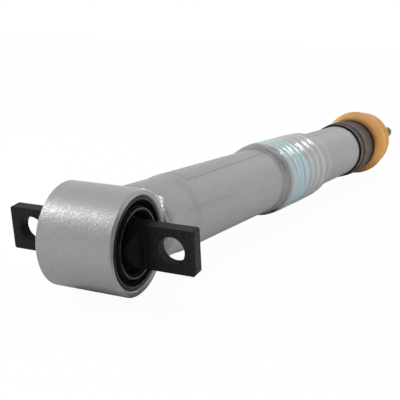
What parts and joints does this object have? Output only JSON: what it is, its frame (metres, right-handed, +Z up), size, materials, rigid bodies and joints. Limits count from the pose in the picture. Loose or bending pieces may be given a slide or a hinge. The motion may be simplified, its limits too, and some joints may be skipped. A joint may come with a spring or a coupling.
{
  "type": "suspension strut",
  "caption": "Gas-charged monotube suspension strut: bar-pin bush in a lower eye, grooved spring-seat sleeve, end cap, and a foam bump stop on the piston rod.",
  "frame": {"origin": "centre of the lower eye and its bar pin", "axes": "+X up the strut's axis to the threaded stem, Y along the eye and its bar pin, +Z up as the strut lies in the picture"},
  "size_m": [0.7013, 0.1156, 0.0672],
  "materials": {
    "silver_paint": "metallic silver paint",
    "weld": "painted weld bead",
    "film": "clear and light-blue wrapping film",
    "cap_black": "satin black",
    "black_steel": "black phosphated forging",
    "ring_steel": "dark phosphated steel",
    "rubber": "moulded black rubber",
    "chrome_rod": "ground and hard-chromed",
    "machined_steel": "machined",
    "spring_steel": "blued spring steel",
    "machined_aluminium": "turned",
    "bronze": "lined bronze",
    "slip_plastic": "filled slip plastic",
    "foam": "tan moulded urethane foam"
  },
  "bodies": {
    "damper": {"lower_eye": "silver_paint", "eye_weld": "weld", "base_cap": "silver_paint", "damper_tube": "silver_paint", "spring_seat_sleeve": "silver_paint", "protective_film": "film", "end_cap": "cap_black", "rod_guide": "machined_aluminium", "guide_bush": "bronze", "rod_seal": "rubber", "rod_wiper": "rubber", "guide_o_ring": "rubber", "guide_stop_ring": "spring_steel", "guide_retaining_ring": "spring_steel", "bush_outer_ring": "ring_steel", "bush_inner_ring": "ring_steel", "bush_outer_rubber": "rubber", "bush_inner_rubber": "rubber"},
    "bar": {"bar_pin": "black_steel"},
    "band": {"piston_band": "slip_plastic"},
    "rod": {"piston_rod": "chrome_rod", "piston": "machined_steel", "compression_shims": "spring_steel", "rebound_shims": "spring_steel", "backing_washers": "machined_steel", "piston_nut": "machined_steel", "rebound_plate": "machined_steel", "rebound_buffer": "rubber"},
    "gas_piston": {"floating_piston": "machined_aluminium", "floating_piston_o_ring": "rubber"},
    "bump": {"bump_stop": "foam"}
  },
  "joints": [
    {"name": "bush_twist", "type": "hinge", "parent": "damper", "child": "bar", "pos_m": [0, 0, 0], "axis": [0, 1, 0], "range_deg": [-20, 20], "stiffness_Nm_per_rad": 60},
    {"name": "rod_slide", "type": "slide", "parent": "damper", "child": "band", "axis": [1, 0, 0], "range_m": [-0.13, 0], "stiffness_N_per_m": 170, "springref_m": 1.18},
    {"name": "rod_spin", "type": "hinge", "parent": "band", "child": "rod", "pos_m": [0.41, 0, 0], "axis": [1, 0, 0], "continuous": true},
    {"name": "gas_piston_slide", "type": "slide", "parent": "damper", "child": "gas_piston", "axis": [1, 0, 0], "range_m": [-0.0121, 0]},
    {"name": "bump_stop_slide", "type": "slide", "parent": "damper", "child": "bump", "axis": [1, 0, 0], "range_m": [0, 0.07]}
  ],
  "couplings": [
    {"joint": "gas_piston_slide", "follows": "rod_slide", "ratio": 0.09263}
  ]
}
